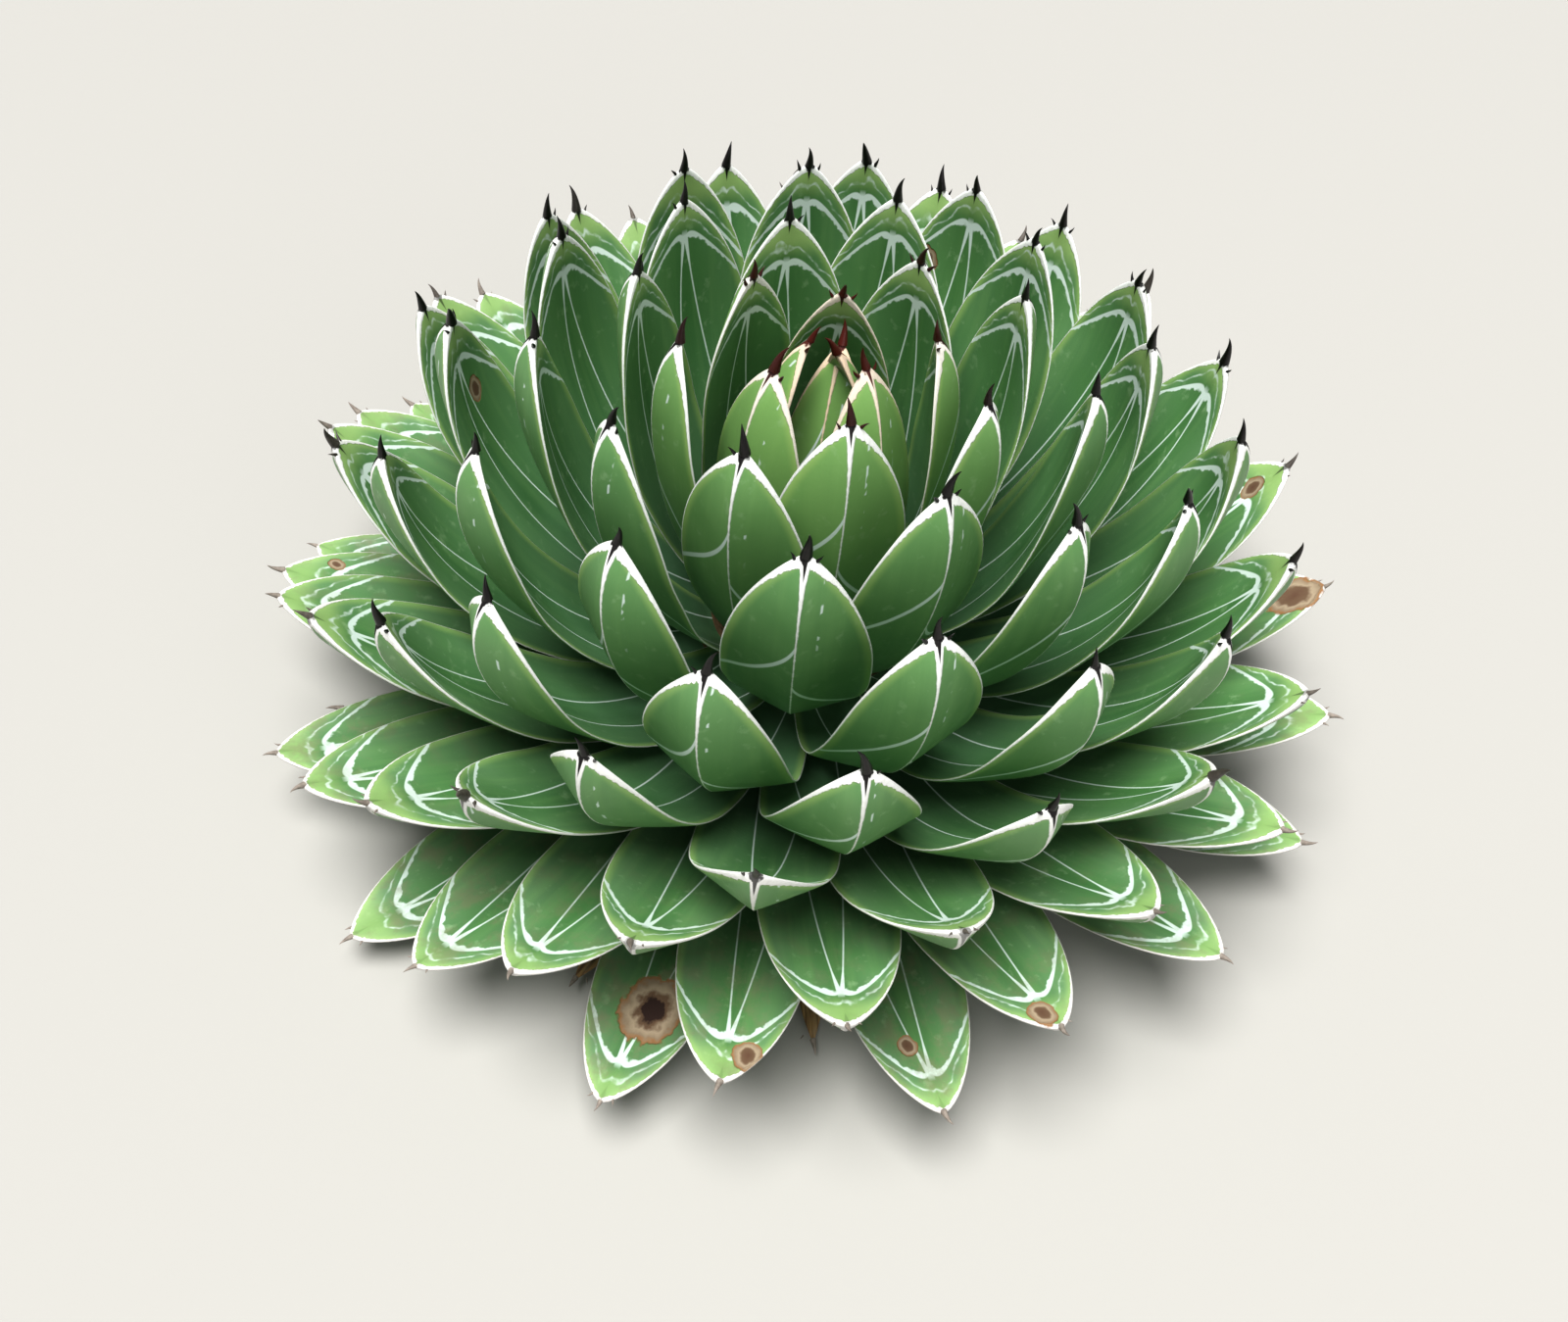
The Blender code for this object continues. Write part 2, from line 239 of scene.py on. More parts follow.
# %% A tree with named inputs
LEAF_NUMBERS = (
    "Azimuth", "Twist", "Length", "Width", "Base Share", "Arch", "Bluntness", "Keel", "Channel", "Edge",
    "Wrinkle", "Age", "Chance",
)
LEAF_INPUTS = {
    **dict.fromkeys(("Root", "Root Handle", "Tip Handle", "Tip", "Scar"), "Vector"),
    **dict.fromkeys(LEAF_NUMBERS, "Float"),
    "Rows": "Int",
    "Columns": "Int",
    "Material": "Material",
}


def new_node_tree(name, inputs):
    """Make a Geometry Nodes tree that takes a geometry and named inputs."""
    tree = bpy.data.node_groups.new(name, "GeometryNodeTree")
    tree.interface.new_socket(name="Geometry", in_out="INPUT", socket_type="NodeSocketGeometry")
    for label, kind in inputs.items():
        tree.interface.new_socket(name=label, in_out="INPUT", socket_type="NodeSocket" + kind)
    tree.interface.new_socket(name="Geometry", in_out="OUTPUT", socket_type="NodeSocketGeometry")
    group_input = tree.nodes.new("NodeGroupInput")
    return tree, {socket.name: socket for socket in group_input.outputs if socket.name}


leaf, leaf_in = new_node_tree("agave_leaf", LEAF_INPUTS)
shape = partial(add, leaf)
grid = shape("GeometryNodeMeshGrid", 1, 1, leaf_in["Rows"], leaf_in["Columns"])
grid_place = shape("GeometryNodeInputPosition")
grid_parts = shape("SeparateXYZ", grid_place).node
along_grid = shape("ADD", grid_parts.outputs[0], 0.5)
round_grid = shape("ADD", grid_parts.outputs[1], 0.5)
print("leaf tree inputs:", len(leaf_in))

# %% [markdown]
# ## The outline of a leaf
#
# Seen flat, a queen victoria leaf is a strap with almost straight sides that ends in a blunt pointed
# arch. So its half width is one product: an arch that rises from nothing at the tip to the full width,
# and a slow taper from there to the root.

# %% Half the width at each row
ROW_CROWDING = 1.6
ARCH_POWER = 3.2
BASE_TAPER_POWER = 1.3

part_from_tip = shape("POWER", along_grid, ROW_CROWDING)
from_tip = shape("MULTIPLY", part_from_tip, leaf_in["Length"])
arch_part = shape("DIVIDE", from_tip, leaf_in["Arch"], use_clamp=True)
arch_left = shape("SUBTRACT", 1, arch_part)
arch_curve = shape("POWER", arch_left, ARCH_POWER)
arch_rise = shape("SUBTRACT", 1, arch_curve)
arch_share = shape("POWER", arch_rise, leaf_in["Bluntness"])
past_arch = shape("SUBTRACT", from_tip, leaf_in["Arch"])
strap_length = shape("SUBTRACT", leaf_in["Length"], leaf_in["Arch"])
strap_part = shape("DIVIDE", past_arch, strap_length, use_clamp=True)
strap_curve = shape("POWER", strap_part, BASE_TAPER_POWER)
base_loss = shape("SUBTRACT", 1, leaf_in["Base Share"])
strap_loss = shape("MULTIPLY", strap_curve, base_loss)
strap_share = shape("SUBTRACT", 1, strap_loss)
width_share = shape("MULTIPLY", arch_share, strap_share)
full_width = shape("MULTIPLY", width_share, leaf_in["Width"])
half_width = shape("MULTIPLY", full_width, 0.5)
print("outline nodes:", len(leaf.nodes))

# %% [markdown]
# ## The section of a leaf
#
# The upper face is a shallow channel. The back is two planes that meet in a keel, a little fuller than
# flat, because the flesh inside is under pressure. The margin is a thin horny bead. A triangle wave
# turns the columns into a place across the leaf, from one margin (1) to the other (-1) and back again,
# and a sine pulls the columns towards the margins and the keel.

# %% Across, and up or down
COLUMN_CROWDING = 0.85
TIP_FORM_LENGTH = 14 * MM
BASE_KEEL_LOSS = 0.36
TIP_KEEL = 0.18
BASE_CHANNEL_GAIN = 0.67
TIP_RAISE = 0.9 * MM
CHANNEL_POWER = 1.7
BACK_POWER = 1.12
BEAD_SHARE = 0.6

round_turn = shape("MULTIPLY_ADD", round_grid, 2, -1)
round_fold = shape("ABSOLUTE", round_turn)
wave = shape("MULTIPLY_ADD", round_fold, 2, -1)
wave_turn = shape("MULTIPLY", wave, math.tau)
wave_sine = shape("SINE", wave_turn)
across = shape("MULTIPLY_ADD", wave_sine, -COLUMN_CROWDING / math.tau, wave)
from_keel = shape("ABSOLUTE", across)
is_back = shape("GREATER_THAN", round_grid, 0.5)

near_base = shape("DIVIDE", from_tip, leaf_in["Length"])
tip_decay = shape("MULTIPLY", from_tip, -1 / TIP_FORM_LENGTH)
near_tip = shape("EXPONENT", tip_decay)
past_tip = shape("SUBTRACT", 1, near_tip)
keel_fade = shape("MULTIPLY_ADD", near_base, -BASE_KEEL_LOSS, 1)
keel_share = shape("MULTIPLY", leaf_in["Keel"], keel_fade)
keel_whole = shape("MULTIPLY_ADD", near_tip, TIP_KEEL, keel_share)
keel_depth = shape("MULTIPLY", keel_whole, full_width)
channel_gain = shape("MULTIPLY_ADD", near_base, BASE_CHANNEL_GAIN, 1)
channel_share = shape("MULTIPLY", leaf_in["Channel"], channel_gain)
channel_open = shape("MULTIPLY", channel_share, past_tip)
channel_deep = shape("MULTIPLY", channel_open, full_width)
tip_cube = shape("POWER", near_tip, 3)
channel_depth = shape("MULTIPLY_ADD", tip_cube, -TIP_RAISE, channel_deep)
edge = shape("MINIMUM", leaf_in["Edge"], half_width)

channel_curve = shape("POWER", from_keel, CHANNEL_POWER)
channel_slope = shape("SUBTRACT", channel_curve, 1)
upper_face = shape("MULTIPLY", channel_slope, channel_depth)
back_curve = shape("POWER", from_keel, BACK_POWER)
back_slope = shape("SUBTRACT", back_curve, 1)
back_height = shape("SUBTRACT", keel_depth, edge)
back_face_deep = shape("MULTIPLY", back_slope, back_height)
back_face = shape("SUBTRACT", back_face_deep, edge)
face = shape("Mix", is_back, upper_face, back_face)
print("section nodes:", len(leaf.nodes))

# %% [markdown]
# ## Rounding the margin, and wrinkling dead leaves
#
# The two faces meet at the margin, so both are drawn together to half the edge's thickness, along a
# quarter of a circle. A dead leaf has lost its water: its faces sag into long wrinkles, which noise
# gives when it is stretched along the leaf. The last row at the root shrinks to a point, which closes
# the solid where nobody sees it. The margins of all the leaves wave up and down a little, also by noise.

# %% From the section to the final height
MARGIN_WAVE = 4 * MM
WRINKLE_SCALE = (260, 32, 10)
WAVE_SCALE = (24, 1.2, 60)

across_mm = shape("MULTIPLY", across, half_width)
from_margin_share = shape("SUBTRACT", 1, from_keel)
from_margin = shape("MULTIPLY", from_margin_share, half_width)
bead = shape("MULTIPLY", leaf_in["Edge"], BEAD_SHARE)
bead_part = shape("DIVIDE", from_margin, bead, use_clamp=True)
bead_left = shape("SUBTRACT", 2, bead_part)
bead_square = shape("MULTIPLY", bead_part, bead_left)
bead_round = shape("SQRT", bead_square)
face_from_edge = shape("MULTIPLY_ADD", edge, 0.5, face)
face_rounded = shape("MULTIPLY", face_from_edge, bead_round)
face_height = shape("MULTIPLY_ADD", edge, -0.5, face_rounded)

wrinkle_place = shape("CombineXYZ", across_mm, from_tip, leaf_in["Chance"])
wrinkle_stretch = shape("VectorMath:MULTIPLY", wrinkle_place, WRINKLE_SCALE)
wrinkle_noise = shape("TexNoise", wrinkle_stretch, 1, 2)
wrinkle_even = shape("SUBTRACT", wrinkle_noise, 0.5)
wrinkle = shape("MULTIPLY", wrinkle_even, leaf_in["Wrinkle"])
wrinkle_inside = shape("MULTIPLY", wrinkle, past_tip)
wrinkled = shape("ADD", wrinkle_inside, face_height)
wave_place = shape("CombineXYZ", from_tip, across, leaf_in["Chance"])
wave_stretch = shape("VectorMath:MULTIPLY", wave_place, WAVE_SCALE)
wave_noise = shape("TexNoise", wave_stretch, 1, 1)
wave_even = shape("SUBTRACT", wave_noise, 0.5)
wave_edge = shape("POWER", from_keel, 2)
wave_inside = shape("MULTIPLY", wave_edge, past_tip)
wave_height = shape("MULTIPLY", wave_even, wave_inside)
wrinkled = shape("MULTIPLY_ADD", wave_height, MARGIN_WAVE, wrinkled)
before_root = shape("LESS_THAN", along_grid, 0.9999)
side_size = shape("MULTIPLY", across_mm, before_root)
up_size = shape("MULTIPLY", wrinkled, before_root)
print("section and margin nodes:", len(leaf.nodes))

# %% [markdown]
# ## Bending the leaf along its curve
#
# The middle of a leaf is a Bezier curve with four points. Mixing neighbouring points by the same share,
# again and again, ends on the curve, and the last two mixed points show its direction. The section
# stands square to that direction, turns with the twist, and swings round the stem to its azimuth. The
# plant rests on a surface, so nothing may hang below it.

# %% Mix along the curve
LOWEST = 0.2 * MM
from_root = shape("SUBTRACT", 1, near_base)
mixed = [leaf_in[name] for name in ("Root", "Root Handle", "Tip Handle", "Tip")]
while len(mixed) > 1:
    last_mixed = mixed
    mixed = [shape("Mix:VECTOR", from_root, near, far) for near, far in zip(mixed, mixed[1:])]
curve_step = shape("VectorMath:SUBTRACT", last_mixed[1], last_mixed[0])
direction = shape("VectorMath:NORMALIZE", curve_step)
direction_parts = shape("SeparateXYZ", direction).node

twist = shape("MULTIPLY", leaf_in["Twist"], from_root)
twist_sine = shape("SINE", twist)
twist_cosine = shape("COSINE", twist)
side_kept = shape("MULTIPLY", side_size, twist_cosine)
side_lost = shape("MULTIPLY", up_size, twist_sine)
side = shape("SUBTRACT", side_kept, side_lost)
up_kept = shape("MULTIPLY", up_size, twist_cosine)
up = shape("MULTIPLY_ADD", side_size, twist_sine, up_kept)
minus_up = shape("MULTIPLY", up, -1)
shift_out = shape("MULTIPLY", direction_parts.outputs[2], minus_up)
shift_high = shape("MULTIPLY", direction_parts.outputs[0], up)
shift = shape("CombineXYZ", shift_out, side, shift_high)
in_plane = shape("VectorMath:ADD", mixed[0], shift)
swung = shape("VectorRotate:Z_AXIS", in_plane, (0, 0, 0), leaf_in["Azimuth"])
swung_parts = shape("SeparateXYZ", swung).node
kept_up = shape("MAXIMUM", swung_parts.outputs[2], LOWEST)
placed = shape("CombineXYZ", swung_parts.outputs[0], swung_parts.outputs[1], kept_up)
print("bending done, nodes:", len(leaf.nodes))

# %% [markdown]
# ## What the paint needs to know
#
# The white lines of this plant follow each leaf, not the room. So the tree writes on every point where
# it is on its own leaf in millimetres: across, down from the tip and in from the margin. It also writes
# the leaf's age, a number drawn for it by chance, and whether the point is on the back.

# %% Write the attributes and close the leaf
WELD_DISTANCE = 0.005 * MM

in_mm = [shape("MULTIPLY", length, 1 / MM) for length in (across_mm, from_tip, from_margin)]
place_value = shape("CombineXYZ", *in_mm)
kind_value = shape("CombineXYZ", leaf_in["Age"], leaf_in["Chance"], is_back)
leaf_shape = grid
for name, value in [("place_mm", place_value), ("leaf_kind", kind_value), ("leaf_scar", leaf_in["Scar"])]:
    leaf_shape = shape(
        "GeometryNodeStoreNamedAttribute", leaf_shape, True, name, value, data_type="FLOAT_VECTOR"
    )
leaf_shape = shape("GeometryNodeSetPosition", leaf_shape, True, placed)
leaf_shape = shape("GeometryNodeMergeByDistance", leaf_shape, True, WELD_DISTANCE)
leaf_shape = shape("GeometryNodeSetShadeSmooth", leaf_shape, True, True)
leaf_shape = shape("GeometryNodeRealizeInstances", leaf_shape)
leaf_shape = shape("GeometryNodeSetMaterial", leaf_shape, True, leaf_in["Material"])
shape("NodeGroupOutput", leaf_shape)
print("leaf tree nodes:", len(leaf.nodes))


# %% Run a tree and keep its mesh
def grow(name, tree, values, base_mesh=None):
    """Run a tree on a mesh with these named values, and return the plain mesh that it makes."""
    holder = bpy.data.objects.new(name, base_mesh or bpy.data.meshes.new(name))
    scene.collection.objects.link(holder)
    modifier = holder.modifiers.new("rule", "NODES")
    modifier.node_group = tree
    identifiers = {item.name: item.identifier for item in tree.interface.items_tree}
    for label, value in values.items():
        modifier[identifiers[label]] = value
    bpy.context.view_layer.update()
    evaluated = holder.evaluated_get(bpy.context.evaluated_depsgraph_get())
    mesh = bpy.data.meshes.new_from_object(evaluated)
    holder.modifiers.clear()
    bpy.data.objects.remove(holder)
    mesh.name = name
    return mesh


print("inputs that a tree of leaves takes:", ", ".join(LEAF_INPUTS))

# %% [markdown]
# ## Leaf skin: waxy cuticle over green flesh
#
# The skin of this agave is a smooth, hard cuticle with a bloom of wax. It gives the eye a satin green
# with soft highlights. The horny margin and the keel are dead, chalk white tissue. The pale marks are
# prints: in the bud each leaf lay pressed against its neighbours, and their white margins left a line.
# All of this is drawn with distances in millimetres, taken from the attributes. From here on, paint adds
# a step to the skin's nodes.

# %% Start the leaf skin
COARSE_NOISE = 0.33
FINE_NOISE = 0.7
OLD_AGES = (30.0, 95.0)

skin_material, skin, skin_shader = new_material("waxy_agave_cuticle")
paint = partial(add, skin)


def away_from(value, line):
    """Give the distance between a value and a line's place."""
    return paint("ABSOLUTE", paint("SUBTRACT", value, line))


place_parts, kind_parts, scar_parts = [
    paint("SeparateXYZ", paint("Attribute", attribute_name=name, out=1)).node.outputs
    for name in ("place_mm", "leaf_kind", "leaf_scar")
]
across_leaf, down_leaf, in_from_margin = place_parts
leaf_age, leaf_chance, on_back = kind_parts
off_centre = paint("ABSOLUTE", across_leaf)
on_upper = paint("SUBTRACT", 1, on_back)

leaf_seed = paint("MULTIPLY", leaf_chance, 90)
side_seed = paint("MULTIPLY_ADD", on_back, 40, leaf_seed)
own_place = paint("CombineXYZ", across_leaf, down_leaf, side_seed)
print_edge = paint("TexNoise", own_place, COARSE_NOISE, 2)
print_even = paint("SUBTRACT", print_edge, 0.5)
ragged = paint("TexNoise", own_place, FINE_NOISE, 2)
ragged_even = paint("SUBTRACT", ragged, 0.5)
old_part = paint("MapRange", leaf_age, *OLD_AGES)
print("skin material started")

# %% [markdown]
# ## The white margin and keel
#
# The margin line is little more than a millimetre wide, and swells to a cap near the tip. On the back
# a third arm of the cap runs down the keel, thins out to a line and ends about half way down.
# Each line is the place where a distance is smaller than a width, and the width dies away from the tip.

# %% Margin, cap and keel
CAP_LENGTH = 5.6
CAP_WIDTH = 4.4
CAP_RAGGED = 3.6
MARGIN_LINE = 0.36
KEEL_LENGTH = 62.0
KEEL_CHANCE = 30.0
KEEL_CAP = 1.9
KEEL_LINE = 0.26
LINE_BLUR = 0.2

tip_nearness = paint("EXPONENT", paint("MULTIPLY", down_leaf, -1 / CAP_LENGTH))
cap_width = paint("MULTIPLY_ADD", on_back, -0.5, CAP_WIDTH)
cap_worn = paint("MULTIPLY_ADD", old_part, -0.5, 1)
cap_kept = paint("MULTIPLY", cap_width, cap_worn)
arm_width = paint("MULTIPLY_ADD", tip_nearness, cap_kept, MARGIN_LINE)
arm_ragged = paint("MULTIPLY_ADD", tip_nearness, CAP_RAGGED, 0.45)
margin_width = paint("MULTIPLY_ADD", ragged_even, arm_ragged, arm_width)
margin_over = paint("SUBTRACT", in_from_margin, margin_width)
margin_white = paint("MapRange:SMOOTHSTEP", margin_over, -LINE_BLUR, LINE_BLUR, 1, 0)

keel_end = paint("MULTIPLY_ADD", leaf_chance, KEEL_CHANCE, KEEL_LENGTH)
keel_past = paint("SUBTRACT", down_leaf, keel_end)
keel_thins = paint("MapRange", keel_past, 0, 18, KEEL_LINE, -0.5)
keel_line = paint("MULTIPLY_ADD", tip_nearness, KEEL_CAP, keel_thins)
keel_width = paint("MULTIPLY_ADD", ragged_even, 0.5, keel_line)
keel_over = paint("SUBTRACT", off_centre, keel_width)
keel_near = paint("MapRange:SMOOTHSTEP", keel_over, -LINE_BLUR, LINE_BLUR, 1, 0)
keel_white = paint("MULTIPLY", keel_near, on_back)
horn = paint("MAXIMUM", margin_white, keel_white)
print("margin and keel nodes:", len(skin.nodes))

# %% [markdown]
# ## Bud prints on the upper face
#
# About a centimetre below the tip, the upper face carries the print of the next leaf's cap: a pale,
# bluish arch, ragged on its lower side. From its middle two thin lines part like a wishbone and run to
# the root. The arch is the leaf's own outline again, moved down from the tip. A fainter echo of it,
# broken by noise, lies nearer the tip, where the next leaf but one was pressed on.

# %% The arch and the wishbone
PRINT_START = 8.5
PRINT_CHANCE = 4.0
ARCH_POWER_ACROSS = 2.4
ARCH_DROP = 17.0
ARCH_DENT = 2.2
ECHO_SHIFT = 4.4
BONE_LENGTH = 60.0
BONE_SPREAD = 10.0
BONE_LINE = 0.24

print_start = paint("MULTIPLY_ADD", leaf_chance, PRINT_CHANCE, PRINT_START)
below_print = paint("SUBTRACT", down_leaf, print_start)
leaf_reach = paint("ADD", off_centre, in_from_margin)
share_across = paint("DIVIDE", off_centre, leaf_reach, use_clamp=True)
arch_bend = paint("POWER", share_across, ARCH_POWER_ACROSS)
arch_below = paint("MULTIPLY_ADD", arch_bend, -ARCH_DROP, below_print)
arch_dip = paint("MULTIPLY", off_centre, -0.5)
arch_dent = paint("EXPONENT", arch_dip)
inside_print = paint("MULTIPLY_ADD", arch_dent, -ARCH_DENT, arch_below)
print_thick = paint("MapRange", share_across, 0, 1, 2.3, 2.2)
print_depth = paint("MULTIPLY_ADD", print_even, 4.5, print_thick)
print_over = paint("SUBTRACT", inside_print, print_depth)
print_lower = paint("MapRange:SMOOTHSTEP", print_over, -0.5, 0.3, 1, 0)
print_upper = paint("MapRange:SMOOTHSTEP", inside_print, -0.3, 0.3)
print_arch = paint("MULTIPLY", print_lower, print_upper)
echo_noise = paint("TexNoise", own_place, 0.16, 2)
echo_even = paint("SUBTRACT", echo_noise, 0.5)
echo_gap = paint("MULTIPLY_ADD", echo_even, 9, inside_print)
echo_distance = away_from(echo_gap, -ECHO_SHIFT)
echo_line = paint("MapRange:SMOOTHSTEP", echo_distance, 0.2, 1.1, 0.75, 0)
echo_broken = paint("MapRange", print_edge, 0.4, 0.62, 0.15, 1)
echo_arch = paint("MULTIPLY", echo_line, echo_broken)

bone_fall = paint("MULTIPLY", below_print, -1 / BONE_LENGTH)
bone_decay = paint("EXPONENT", bone_fall)
bone_side = paint("SIGN", across_leaf)
bone_swing = paint("MULTIPLY_ADD", leaf_chance, 6, -3)
bone_spread = paint("MULTIPLY_ADD", bone_side, bone_swing, BONE_SPREAD)
bone_open = paint("SUBTRACT", 1, bone_decay)
bone_place = paint("MULTIPLY", bone_open, bone_spread)
bone_distance = away_from(off_centre, bone_place)
bone_width = paint("MapRange", below_print, 0, 12, 1, BONE_LINE)
bone_over = paint("SUBTRACT", bone_distance, bone_width)
bone_line = paint("MapRange:SMOOTHSTEP", bone_over, -0.15, 0.2, 1, 0)
bone_started = paint("MapRange", below_print, 0, 2)
bone = paint("MULTIPLY", bone_line, bone_started)
upper_print = paint("MAXIMUM", paint("MAXIMUM", print_arch, bone), echo_arch)
upper_print = paint("MULTIPLY", upper_print, on_upper)
print("with the upper prints:", len(skin.nodes))

# %% [markdown]
# ## Bud prints on the back
#
# The back was pressed by the margins of two older leaves, one on either side. Each left one thin curve
# that starts at the margin and bends in to meet the keel, at a different height on each side. Beside the
# keel, near the tip, a row of short dashes shows where a tooth of the next leaf scratched the skin.

# %% Two curves from margin to keel
CURVE_START = 25.0
CURVE_SIDES = 11.0
CURVE_CHANCE = 12.0
CURVE_DROP = 37.0
CURVE_POWER = 0.75

curve_side = paint("MULTIPLY_ADD", bone_side, CURVE_SIDES, CURVE_START)
curve_start = paint("MULTIPLY_ADD", leaf_chance, CURVE_CHANCE, curve_side)
curve_fall = paint("MULTIPLY_ADD", bone_side, 2, CURVE_DROP)
curve_bend = paint("POWER", share_across, CURVE_POWER)
curve_place = paint("MULTIPLY_ADD", curve_bend, curve_fall, curve_start)
curve_distance = away_from(down_leaf, curve_place)
curve_line = paint("MapRange:SMOOTHSTEP", curve_distance, 0.8, 1.6, 1, 0)
dash_off = paint("MULTIPLY_ADD", leaf_chance, 5, 2.5)
dash_distance = away_from(across_leaf, dash_off)
dash_line = paint("MapRange", dash_distance, 0.2, 0.5, 0.9, 0)
dash_beat = paint("TexNoise", own_place, 0.28, 1)
dash_on = paint("MapRange", dash_beat, 0.56, 0.6)
dash_far = paint("MapRange", down_leaf, 20, 34, 1, 0)
dash_here = paint("MULTIPLY", dash_on, dash_far)
dash = paint("MULTIPLY", dash_line, dash_here)
back_marks = paint("MAXIMUM", curve_line, dash)
back_print = paint("MULTIPLY", back_marks, on_back)
bud_print = paint("MAXIMUM", upper_print, back_print)
print("with the back prints:", len(skin.nodes))

# %% [markdown]
# ## Greens
#
# The flesh shows through the cuticle in several greens. The channel is darkest. The rim inside the
# margin, and the tip above the print, are yellower, where the flesh is thin. Old leaves are greyer.
# Long soft streaks follow the fibres, about 4 mm apart, and single leaves differ a little. A painted
# shade darkens each leaf towards its root, where the rosette is deep. Each green is laid over the last by
# an amount, as a painter glazes, and dust lies over them all.

# %% Mix the greens
fibre_place = paint("VectorMath:MULTIPLY", own_place, (0.26, 0.018, 1))
fibres = paint("TexNoise", fibre_place, 1, 3)
blotches = paint("TexNoise", own_place, 0.06, 2)

green = paint("Mix:RGBA", on_back, linear("#628f5c"), linear("#66925a"))
old_amount = paint("MULTIPLY", old_part, 0.75)
dark_centre = paint("MapRange", share_across, 0, 0.75, 0.75, 0)
dark_amount = paint("MULTIPLY", dark_centre, on_upper)
streak_amount = paint("MapRange", fibres, 0.45, 0.75, 0, 0.25)
blotch_amount = paint("MapRange", blotches, 0.45, 0.7, 0, 0.45)
young_part = paint("MapRange", leaf_age, 4, 17, 0.6, 0)
young_amount = paint("MULTIPLY", young_part, on_back)
smudge_noise = paint("TexNoise", own_place, 0.2, 4, 0.6)
smudge_amount = paint("MapRange", smudge_noise, 0.6, 0.74, 0, 0.35)
# Painted shade: each leaf is darkened towards its root, deep in the rosette where little light reaches.
base_shade_amount = paint("MapRange", down_leaf, 35, 120, 0, 0.8)
bloom_down = paint("MapRange", down_leaf, 35, 120, 0, 0.4)
bloom_amount = paint("MULTIPLY", bloom_down, blotches)
rim_strength = paint("MULTIPLY_ADD", old_part, -0.25, 0.6)
rim_near = paint("MapRange:SMOOTHSTEP", in_from_margin, 0.8, 3.6, 1, 0)
rim_amount = paint("MULTIPLY", rim_near, rim_strength)
tip_light = paint("MapRange:SMOOTHSTEP", below_print, -6, 2, 0.9, 0)
tip_faded = paint("MULTIPLY_ADD", old_part, -0.45, 0.95)
tip_strength = paint("MULTIPLY", tip_light, tip_faded)
tip_amount = paint("MULTIPLY", tip_strength, on_upper)
print_kept = paint("MULTIPLY_ADD", old_part, -0.2, 1)
print_amount = paint("MULTIPLY", bud_print, print_kept)
dust_noise = paint("TexNoise", own_place, 0.11, 5, 0.65)
dust_spots = paint("MapRange", dust_noise, 0.48, 0.64, 0, 0.7)
dust_age = paint("MapRange", leaf_age, 60, 100, 0, 0.8)
dust_upper = paint("MULTIPLY", dust_age, on_upper)
dust_amount = paint("MULTIPLY", dust_spots, dust_upper)

green_layers = [
    (old_amount, "#698663"),
    (dark_amount, "#3d6e38"),
    (streak_amount, "#86ae6e"),
    (blotch_amount, "#55854c"),
    (young_amount, "#8fb767"),
    (smudge_amount, "#a4c096"),
    (base_shade_amount, "#2c5a30"),
    (bloom_amount, "#8fb498"),
    (rim_amount, "#9fbd70"),
    (tip_amount, "#a6c47c"),
    (print_amount, "#d8e6df"),
    (dust_amount, "#7c7a60"),
]
for amount, hex_colour in green_layers:
    green = paint("Mix:RGBA", amount, green, linear(hex_colour))
print("skin nodes so far:", len(skin.nodes))

# %% [markdown]
# ## White horn, and the dark foot of the spine
#
# The cap is chalk white on grown leaves. In the bud it is still cream and pink with a brown edge,
# because the tissue is drying out. Where the spine grows from the cap the horn is black, and on the
# oldest leaves the weather has bleached it grey.

# %% Paint the horn
bud_part = paint("MapRange", leaf_age, 1, 8, 1, 0)
bleached = paint("MapRange", leaf_age, 52, 78)
horn_white = paint("Mix:RGBA", bud_part, linear("#f1f2ee"), linear("#ecd3b8"))
horn_white = paint("Mix:RGBA", old_part, horn_white, linear("#d3cfca"))
chalk = paint("TexNoise", own_place, 0.9, 4)
chalk_amount = paint("MapRange", chalk, 0.45, 0.75, 0, 0.35)
horn_colour = paint("Mix:RGBA", chalk_amount, horn_white, linear("#c3c2bc"))
line_far = paint("MapRange", down_leaf, 25, 70, 0, 0.5)
line_aged = paint("MULTIPLY", line_far, old_part)
horn_colour = paint("Mix:RGBA", line_aged, horn_colour, linear("#9a8a72"))
colour = paint("Mix:RGBA", horn, green, horn_colour)

foot_across = paint("MULTIPLY_ADD", off_centre, 0.55, down_leaf)
foot_reach = paint("MULTIPLY_ADD", ragged_even, -3, foot_across)
spine_foot = paint("MapRange:SMOOTHSTEP", foot_reach, 1.7, 2.3, 1, 0)
vein_reach = paint("MULTIPLY_ADD", off_centre, 5, down_leaf)
foot_vein = paint("MapRange:SMOOTHSTEP", vein_reach, 4, 5.6, 1, 0)
foot_dark = paint("MAXIMUM", spine_foot, foot_vein)
foot_unbleached = paint("MULTIPLY_ADD", bleached, -0.85, 1)
foot_amount = paint("MULTIPLY", foot_dark, foot_unbleached)
foot_colour = paint("Mix:RGBA", bud_part, linear("#0d0909"), linear("#551c13"))
colour = paint("Mix:RGBA", foot_amount, colour, foot_colour)
print("with the horn:", len(skin.nodes))

# %% [markdown]
# ## Scars
#
# Hail and rough handling leave corky brown spots with a pale ring. Each leaf carries one scar at most:
# its middle and its radius are written on the leaf as an attribute. A radius of nothing is no scar, and
# a negative one puts the scar on the back. Only a large scar has a hole in its middle.

# %% Paint the scars
LARGE_SCAR = 10.0

